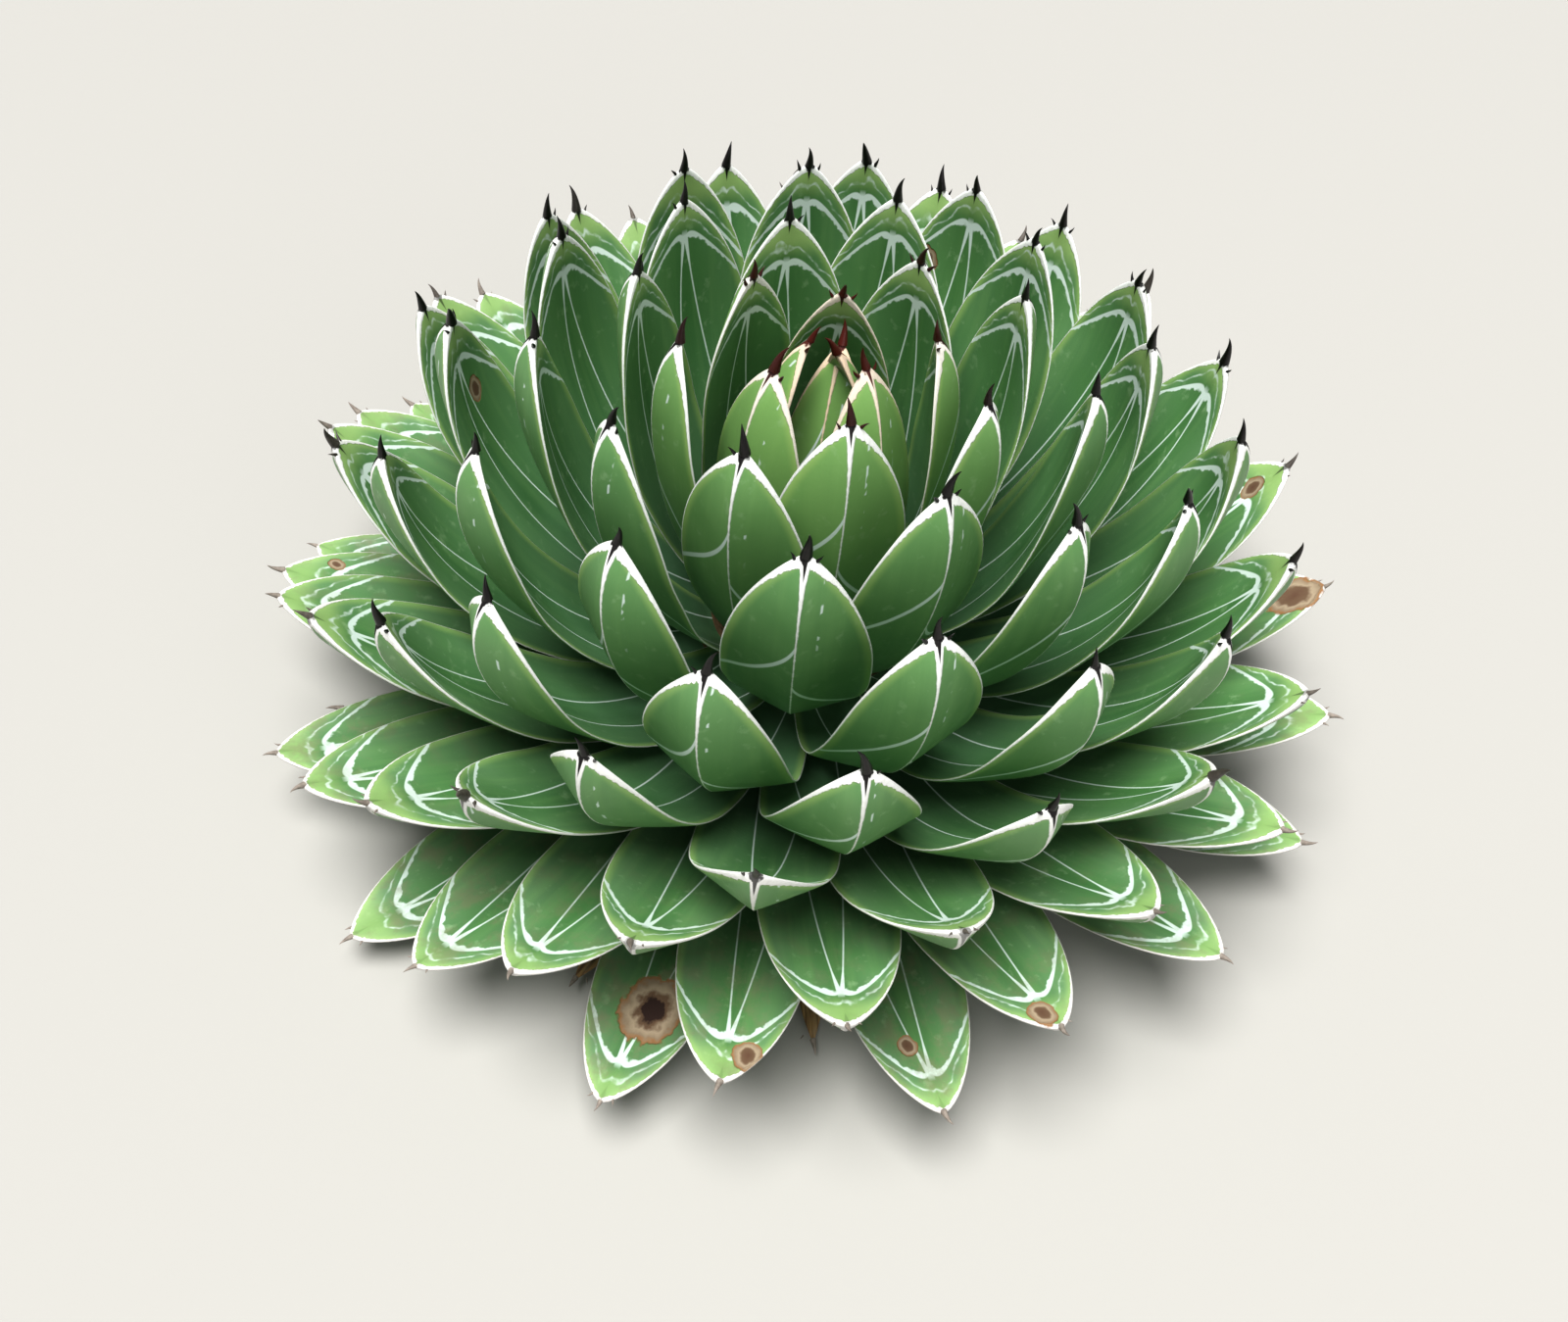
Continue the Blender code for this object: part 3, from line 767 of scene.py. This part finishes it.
scar_middle = paint("CombineXYZ", *scar_parts[:2])
scar_here = paint("CombineXYZ", across_leaf, down_leaf)
scar_distance = paint("VectorMath:DISTANCE", scar_here, scar_middle)
scar_size = paint("ABSOLUTE", scar_parts[2])
scar_safe = paint("MAXIMUM", scar_size, 0.001)
scar_ratio = paint("DIVIDE", scar_distance, scar_safe)
scar_share = paint("MULTIPLY_ADD", print_even, 0.5, scar_ratio)
scar_edge = paint("MapRange", scar_share, 0.92, 1, 1, 0)
scar_face_back = paint("LESS_THAN", scar_parts[2], 0)
scar_other_face = away_from(scar_face_back, on_back)
scar_same_face = paint("SUBTRACT", 1, scar_other_face)
scar_amount = paint("MULTIPLY", scar_edge, scar_same_face)
scar_ramp = paint("ValToRGB", scar_share)
scar_stops = scar_ramp.node.color_ramp.elements
scar_stops[0].color = linear("#5d4231")
scar_stops[1].color = linear("#7b4f2c")
for stop, stop_colour in [(0.45, "#67503c"), (0.6, "#a19079"), (0.8, "#8a7862"), (0.9, "#8f6a46")]:
    scar_stops.new(stop).color = linear(stop_colour)
scar_hole = paint("MapRange", scar_share, 0.33, 0.4, 1, 0)
scar_large = paint("GREATER_THAN", scar_size, LARGE_SCAR)
scar_core = paint("MULTIPLY", scar_hole, scar_large)
scar_colour = paint("Mix:RGBA", scar_core, scar_ramp, linear("#2e1a13"))
colour = paint("Mix:RGBA", scar_amount, colour, scar_colour)
print("scar stops:", len(scar_stops))

# %% [markdown]
# ## Gloss and relief of the skin
#
# Wax is a little rough, horn rougher, cork rougher still. The horn stands proud of the green by a few
# tenths of a millimetre, scars are sunk, and the fibres under the skin raise faint ridges.

# %% Finish the leaf skin
WAX_IOR = 1.45

rough_horn = paint("MULTIPLY_ADD", horn, 0.14, 0.40)
rough_chalk = paint("MULTIPLY_ADD", blotches, 0.12, rough_horn)
roughness = paint("MULTIPLY_ADD", scar_amount, 0.3, rough_chalk)
relief_fibres = paint("MULTIPLY", fibres, 0.25)
relief_horn = paint("MULTIPLY_ADD", horn, 0.3, relief_fibres)
relief_chalk = paint("MULTIPLY_ADD", chalk, 0.08, relief_horn)
relief = paint("MULTIPLY_ADD", scar_amount, -0.5, relief_chalk)
skin_bump = paint("Bump", 0.6, 0.001, 0.1, relief)
finish_shader(
    skin_shader, {"Base Color": colour, "Roughness": roughness, "Normal": skin_bump, "IOR": WAX_IOR}
)
print("skin nodes:", len(skin.nodes))

# %% [markdown]
# ## Dead leaf: dry agave fibre
#
# A dead leaf is a bundle of tough fibres in shrunken tan pith. It gives the eye a matt straw colour with
# dark rotten streaks and grey weathered ones, all along the leaf. The streaks are about 1.5 mm wide.

# %% Paint the dead leaves
dry_material, dry, dry_shader = new_material("dry_agave_fibre")
dry_parts, dry_kind = [
    add(dry, "SeparateXYZ", add(dry, "Attribute", attribute_name=name, out=1)).node.outputs
    for name in ("place_mm", "leaf_kind")
]
dry_seed = add(dry, "MULTIPLY", dry_kind[1], 70)
dry_spot = add(dry, "CombineXYZ", dry_parts[0], dry_parts[1], dry_seed)
dry_along = add(dry, "VectorMath:MULTIPLY", dry_spot, (0.65, 0.03, 1))
dry_streaks = add(dry, "TexNoise", dry_along, 1, 4, 0.6)
dry_patches = add(dry, "TexNoise", dry_spot, 0.07, 3)
dry_dark = add(dry, "MapRange", dry_streaks, 0.45, 0.62, 0, 0.8)
dry_grey = add(dry, "MapRange", dry_patches, 0.48, 0.66, 0, 0.7)
dry_colour = add(dry, "Mix:RGBA", dry_dark, linear("#b08d60"), linear("#5d4229"))
dry_colour = add(dry, "Mix:RGBA", dry_grey, dry_colour, linear("#a39d90"))
dry_bump = add(dry, "Bump", 0.9, 0.001, 0.1, dry_streaks)
finish_shader(dry_shader, {"Base Color": dry_colour, "Normal": dry_bump, "Roughness": 0.85})
print("dry leaf nodes:", len(dry.nodes))

# %% [markdown]
# ## Growing all the leaves
#
# Each outer leaf is a piece of its own that stands for its plain solid, in the same place. The inner
# leaves still stand packed on the growing point, and the solid has them in one body with the stem, so
# they are joined. A leaf has about 3500 triangles, and an inner one about 2200, since most of it hides.

# %% Grow the leaves
OUTER_GRID = {"Rows": 46, "Columns": 41}
INNER_GRID = {"Rows": 36, "Columns": 33}
DRY_GRID = {"Rows": 70, "Columns": 41}
DRY_WRINKLE = 5 * MM
SCARS = {
    102: (2.6, 29, 11.5),
    89: (7, 9, 5),
    84: (-2, 6, 4.5),
    97: (-4, 20, 3.5),
    74: (0, 8, 8),
    61: (2, 11, 4),
    49: (-11, 14, 5),
    36: (-6, 25, 4),
    30: (14, 26, 5),
    91: (-9, 13, 2.5),
    79: (5, 39, 2.5),
}
leaf_chances = random.Random(41)


def grow_leaf(name, age, grid_size, material, wrinkle=0.0):
    """Grow one leaf of the spiral as a plain mesh."""
    values = {
        **leaf_sizes[age],
        **grid_size,
        "Scar": Vector(SCARS.get(age, (0, 0, 0))),
        "Wrinkle": wrinkle,
        "Age": float(age),
        "Chance": leaf_chances.random(),
        "Material": material,
    }
    return grow(name, leaf, values)


def triangles(mesh):
    """Count a mesh's triangles."""
    return sum(len(polygon.vertices) - 2 for polygon in mesh.polygons)


def new_piece(name, mesh, slot_name, *replaced):
    """Show a mesh as a piece of the plant, in place of solids; the slot name is not used."""
    piece = bpy.data.objects.new(name, mesh)
    scene.collection.objects.link(piece)
    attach(piece, "root")
    if replaced:
        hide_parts(*replaced)
    return piece


inner_meshes = [grow_leaf(f"inner_{age}", age, INNER_GRID, skin_material) for age in range(INNER_LEAVES)]
for age in GREEN_AGES[INNER_LEAVES:]:
    node = f"leaf_{age:03d}"
    new_piece("green_" + node, grow_leaf(node, age, OUTER_GRID, skin_material), "leaf_green", node)
for age in DRY_AGES:
    node = f"dry_leaf_{age:03d}"
    dry_mesh = grow_leaf(node, age, DRY_GRID, dry_material, DRY_WRINKLE)
    new_piece("dead_" + node, dry_mesh, "dry_leaf_tan", node)
print("inner leaf triangles:", sum(triangles(mesh) for mesh in inner_meshes))

# %% [markdown]
# ## The stem
#
# The stem is a short thick trunk, hidden but for its foot. It is turned from the profile of its solid:
# a flat foot, an upright side and a round top. Old leaf bases leave thin ridges round it, so the noise
# of its corky brown bark is stretched round the stem, about 2 mm high. The pale foot is the cut.

# %% Turn the stem
STEM_FOOT_RADIUS = 34 * MM
STEM_FOOT_RISE = 7 * MM
STEM_STEPS = 96

stem_material, bark, bark_shader = new_material("corky_agave_stem")
bark_place = add(bark, "TexCoord", out=3)
bark_squash = add(bark, "VectorMath:MULTIPLY", bark_place, (90, 90, 420))
bark_noise = add(bark, "TexNoise", bark_squash, 1, 5, 0.65)
bark_height = add(bark, "SeparateXYZ", bark_place).node.outputs[2]
bark_shade = add(bark, "MapRange", bark_noise, 0.35, 0.65)
bark_cut = add(bark, "MapRange", bark_height, 0.0002, 0.0008, 1, 0)
bark_colour = add(bark, "Mix:RGBA", bark_shade, linear("#4a3524"), linear("#8a6c4a"))
bark_colour = add(bark, "Mix:RGBA", bark_cut, bark_colour, linear("#cdbb93"))
bark_bump = add(bark, "Bump", 1, 0.002, 0.1, bark_noise)
finish_shader(bark_shader, {"Base Color": bark_colour, "Normal": bark_bump, "Roughness": 0.9})


def turned_stem():
    """Turn the stem's profile into a closed mesh."""
    profile = [(0.0, 0.0), (STEM_FOOT_RADIUS, 0.0), (STEM_RADIUS, STEM_FOOT_RISE)]
    side = STEM_DOME_CENTRE - STEM_FOOT_RISE
    profile += [(STEM_RADIUS, STEM_FOOT_RISE + side * i / 6) for i in range(1, 7)]
    for i in range(1, 9):
        angle = math.pi / 2 * i / 8
        profile.append((STEM_RADIUS * math.cos(angle), STEM_DOME_CENTRE + STEM_RADIUS * math.sin(angle)))
    verts = [(0.0, 0.0, profile[0][1])]
    for radius, height in profile[1:-1]:
        for step in range(STEM_STEPS):
            turn = math.tau * step / STEM_STEPS
            verts.append((radius * math.cos(turn), radius * math.sin(turn), height))
    verts.append((0.0, 0.0, profile[-1][1]))
    faces = []
    last = len(verts) - 1
    rings = len(profile) - 2
    for step in range(STEM_STEPS):
        following = (step + 1) % STEM_STEPS
        faces.append((0, 1 + following, 1 + step))
        for ring in range(rings - 1):
            low = 1 + ring * STEM_STEPS
            high = low + STEM_STEPS
            faces.append((low + step, low + following, high + following, high + step))
        top = 1 + (rings - 1) * STEM_STEPS
        faces.append((top + step, top + following, last))
    mesh = bpy.data.meshes.new("stem")
    mesh.from_pydata(verts, [], faces)
    mesh.materials.append(stem_material)
    mesh.shade_smooth()
    return mesh


def join(name, meshes):
    """Join meshes into one object's mesh, with their attributes and materials."""
    parts = [bpy.data.objects.new(f"{name}_{i}", mesh) for i, mesh in enumerate(meshes)]
    for part in parts:
        scene.collection.objects.link(part)
    with bpy.context.temp_override(
        active_object=parts[0], object=parts[0], selected_objects=parts, selected_editable_objects=parts
    ):
        bpy.ops.object.join()
    mesh = parts[0].data
    bpy.data.objects.remove(parts[0])
    mesh.name = name
    return mesh


heart_mesh = join("heart", [*inner_meshes, turned_stem()])
new_piece("stem_and_inner_leaves", heart_mesh, "inner_leaf_green", "stem_with_inner_leaves")
print("heart triangles:", triangles(heart_mesh))

# %% [markdown]
# ## The end spines
#
# Every leaf ends in one hard, curved spine, and often a short tooth beside it. One small horn is drawn
# along a curve with a radius that falls to a point, and it is placed on a cloud of points, one for
# each tip. The cloud carries the direction, the length and the age, so the horns differ.

# %% A tree of horns
spine, spine_in = new_node_tree("end_spines", {"Material": "Material"})
HORN_BASE = 0.09
HORN_FLARE = 0.11
HORN_POINT = 0.01
horn_line = add(
    spine, "GeometryNodeCurvePrimitiveBezierSegment", 9, (0, 0, -0.08), (0, 0, 0.35),
    (0.02, 0, 0.72), (0.2, 0, 1.0),
)
horn_part = add(spine, "GeometryNodeSplineParameter")
horn_left = add(spine, "SUBTRACT", 1, horn_part)
horn_taper = add(spine, "MULTIPLY_ADD", horn_left, HORN_BASE, HORN_POINT)
horn_foot = add(spine, "POWER", horn_left, 7)
horn_radius = add(spine, "MULTIPLY_ADD", horn_foot, HORN_FLARE, horn_taper)
horn_round = add(spine, "GeometryNodeCurvePrimitiveCircle", 9, mode="RADIUS")
horn_solid = add(spine, "GeometryNodeCurveToMesh", horn_line, horn_round, horn_radius, True)
horn_solid = add(spine, "GeometryNodeSetShadeSmooth", horn_solid, True, True)
horn_aim = add(spine, "GeometryNodeInputNamedAttribute", "aim", data_type="FLOAT_VECTOR")
horn_sizes = add(
    spine, "SeparateXYZ",
    add(spine, "GeometryNodeInputNamedAttribute", "horn_size", data_type="FLOAT_VECTOR"),
).node
horn_turn = add(spine, "FunctionNodeAlignRotationToVector", None, 1, horn_aim, axis="Z")
horn_hook = add(spine, "FunctionNodeAxisAngleToRotation", (0, 0, 1), horn_sizes.outputs[1])
horn_turn = add(spine, "FunctionNodeRotateRotation", horn_turn, horn_hook, rotation_space="LOCAL")
horns = add(
    spine, "GeometryNodeInstanceOnPoints", spine_in["Geometry"], True, horn_solid, False, 0,
    horn_turn, horn_sizes.outputs[0],
)
horns = add(spine, "GeometryNodeRealizeInstances", horns)
horns = add(spine, "GeometryNodeSetMaterial", horns, True, spine_in["Material"])
add(spine, "NodeGroupOutput", horns)
print("spine tree nodes:", len(spine.nodes))

# %% [markdown]
# ## Horn of the spines
#
# The spine is solid horn, hard and polished by the weather. Young ones are red-brown, grown ones black,
# and the oldest are bleached to grey with a rough, split surface.

# %% Paint the spines
spine_material, horny, horny_shader = new_material("agave_spine_horn")
horny_age = add(
    horny, "SeparateXYZ", add(horny, "Attribute", attribute_name="horn_size", out=1)
).node.outputs[2]
horny_young = add(horny, "MapRange", horny_age, 2, 12, 1, 0)
horny_old = add(horny, "MapRange", horny_age, 52, 78)
horny_place = add(horny, "TexCoord", out=3)
horny_noise = add(horny, "TexNoise", horny_place, 600, 3)
horny_grey = add(horny, "Mix:RGBA", horny_noise, linear("#4d433c"), linear("#a89d92"))
horny_colour = add(horny, "Mix:RGBA", horny_young, linear("#0c0808"), linear("#4a1710"))
horny_colour = add(horny, "Mix:RGBA", horny_old, horny_colour, horny_grey)
horny_rough = add(horny, "MapRange", horny_old, 0, 1, 0.32, 0.75)
horny_bump = add(horny, "Bump", 0.5, 0.0003, 0.1, horny_noise)
finish_shader(
    horny_shader, {"Base Color": horny_colour, "Roughness": horny_rough, "Normal": horny_bump}
)
print("spine horn nodes:", len(horny.nodes))


# %% Place a horn on every tip
def tip_frame(sizes):
    """Give a leaf's tip, and its forward, across and up directions there."""
    turn = Matrix.Rotation(sizes["Azimuth"], 3, "Z")
    forward = (turn @ (sizes["Tip"] - sizes["Tip Handle"])).normalized()
    sideways = turn @ Vector((0, 1, 0))
    return turn @ sizes["Tip"], forward, sideways, forward.cross(sideways)


SPINE_SIZES = (6.0, 9.5)
TOOTH_SIZES = (2.2, 3.8)
TOOTH_CHANCE = 0.6
TOOTH_BACK = 2.6 * MM
TOOTH_ASIDE = 3.4 * MM
TOOTH_DROP = 0.4 * MM
WORN_AGE = 60
WORN_SHARE = 0.68
spine_chance = random.Random(12)
spine_rows = []
for age, sizes in leaf_sizes.items():
    tip, forward, sideways, upward = tip_frame(sizes)
    worn = WORN_SHARE if age > WORN_AGE else 1.0
    lean = spine_chance.uniform(-0.25, 0.25)
    aim = (forward + 0.15 * upward + lean * sideways).normalized()
    hook = spine_chance.uniform(0, math.tau)
    start = tip - 0.5 * MM * forward
    spine_rows.append((start, aim, spine_chance.uniform(*SPINE_SIZES) * MM * worn, hook, age))
    for sign in (-1, 1):
        if spine_chance.random() < TOOTH_CHANCE:
            start = tip - TOOTH_BACK * forward + sign * TOOTH_ASIDE * sideways - TOOTH_DROP * upward
            aim = (forward + sign * spine_chance.uniform(0.3, 0.9) * sideways).normalized()
            size = spine_chance.uniform(*TOOTH_SIZES) * MM * worn
            spine_rows.append((start, aim, size, spine_chance.uniform(0, math.tau), age))

tips_mesh = bpy.data.meshes.new("leaf_tips")
tips_mesh.from_pydata([row[0] for row in spine_rows], [], [])
aim_data = tips_mesh.attributes.new("aim", "FLOAT_VECTOR", "POINT")
size_data = tips_mesh.attributes.new("horn_size", "FLOAT_VECTOR", "POINT")
for i, (start, aim, size, hook, age) in enumerate(spine_rows):
    aim_data.data[i].vector = aim
    size_data.data[i].vector = (size, hook, age)
spine_mesh = grow("spines", spine, {"Material": spine_material}, tips_mesh)
new_piece("end_spines", spine_mesh, "leaf_green")
print("spines:", len(spine_rows), "triangles:", triangles(spine_mesh))

# %% [markdown]
# ## Floor, light and camera
#
# The plant stands on a pale sheet under one broad soft light from above, with a weak fill in front, so
# the gaps between the leaves stay dark, and a gamma under 1 deepens them. The camera looks down at it as
# the photographer did.

# %% Studio
FLOOR_HALF = 30.0
floor_mesh = bpy.data.meshes.new("floor")
floor_mesh.from_pydata(
    [(x * FLOOR_HALF, y * FLOOR_HALF, 0) for x, y in ((-1, -1), (1, -1), (1, 1), (-1, 1))],
    [], [(0, 1, 2, 3)],
)
floor_material, _, floor_shader = new_material("pale_studio_paper")
finish_shader(floor_shader, {"Base Color": linear("#a6a49f"), "Roughness": 0.9})
floor_mesh.materials.append(floor_material)
floor = bpy.data.objects.new("floor", floor_mesh)
scene.collection.objects.link(floor)
floor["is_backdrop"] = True

world = bpy.data.worlds.new("studio")
scene.world = world
world.use_nodes = True
world.node_tree.nodes["Background"].inputs[0].default_value = linear("#dfe3e8")
world.node_tree.nodes["Background"].inputs[1].default_value = 0.22


def add_light(name, kind, power, place, **settings):
    """Hang a soft light that looks at the plant."""
    data = bpy.data.lights.new(name, kind)
    for setting, value in {"energy": power, **settings}.items():
        setattr(data, setting, value)
    light = bpy.data.objects.new(name, data)
    light.location = place
    aim = Vector((0, 0, 0.1)) - Vector(place)
    light.rotation_euler = aim.to_track_quat("-Z", "Y").to_euler()
    scene.collection.objects.link(light)
    return light


add_light("key", "SUN", 5.9, (-0.2, -0.16, 1.5), angle=math.radians(42))
add_light("fill", "AREA", 10.0, (0.7, -1.4, 1.3), size=1.6)

PHOTO_WIDTH = 1600
FOCAL_PIXELS = 1850
SENSOR = 36.0
camera_data = bpy.data.cameras.new("photographer")
camera_data.sensor_fit = "HORIZONTAL"
camera_data.sensor_width = SENSOR
camera_data.lens = FOCAL_PIXELS * SENSOR / PHOTO_WIDTH
camera_data.clip_start = 0.01
camera = bpy.data.objects.new("photographer", camera_data)
yaw, pitch, roll = (math.radians(angle) for angle in (-0.46, 51.25, 5.90))
view_ahead = Vector((math.sin(yaw) * math.cos(pitch), math.cos(yaw) * math.cos(pitch), -math.sin(pitch)))
view_right = Vector((math.cos(yaw), -math.sin(yaw), 0))
view_up = view_right.cross(view_ahead)
rolled_right = math.cos(roll) * view_right + math.sin(roll) * view_up
rolled_up = -math.sin(roll) * view_right + math.cos(roll) * view_up
rotation = Matrix((rolled_right, rolled_up, -view_ahead)).transposed()
camera.matrix_world = Matrix.Translation(Vector((-2.67, -443.72, 570.90)) * MM) @ rotation.to_4x4()
scene.collection.objects.link(camera)
scene.camera = camera
scene.view_settings.view_transform = "Standard"
scene.view_settings.look = "None"
scene.view_settings.gamma = 0.87
scene.view_settings.exposure = 0.08
print("camera lens, mm:", round(camera_data.lens, 1))

# %% [markdown]
# ## The size of the dressed plant
#
# The dressed plant has to fill the same box as its solids, so both boxes are printed.

# %% Print the sizes
seen_low, seen_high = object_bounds()
sizes = {
    "cad": [list(cad_low), list(cad_high)],
    "visual": [list(seen_low), list(seen_high)],
}
print("CAD box:", [round(v, 4) for v in (*cad_low, *cad_high)])
print("seen box:", [round(v, 4) for v in (*seen_low, *seen_high)])
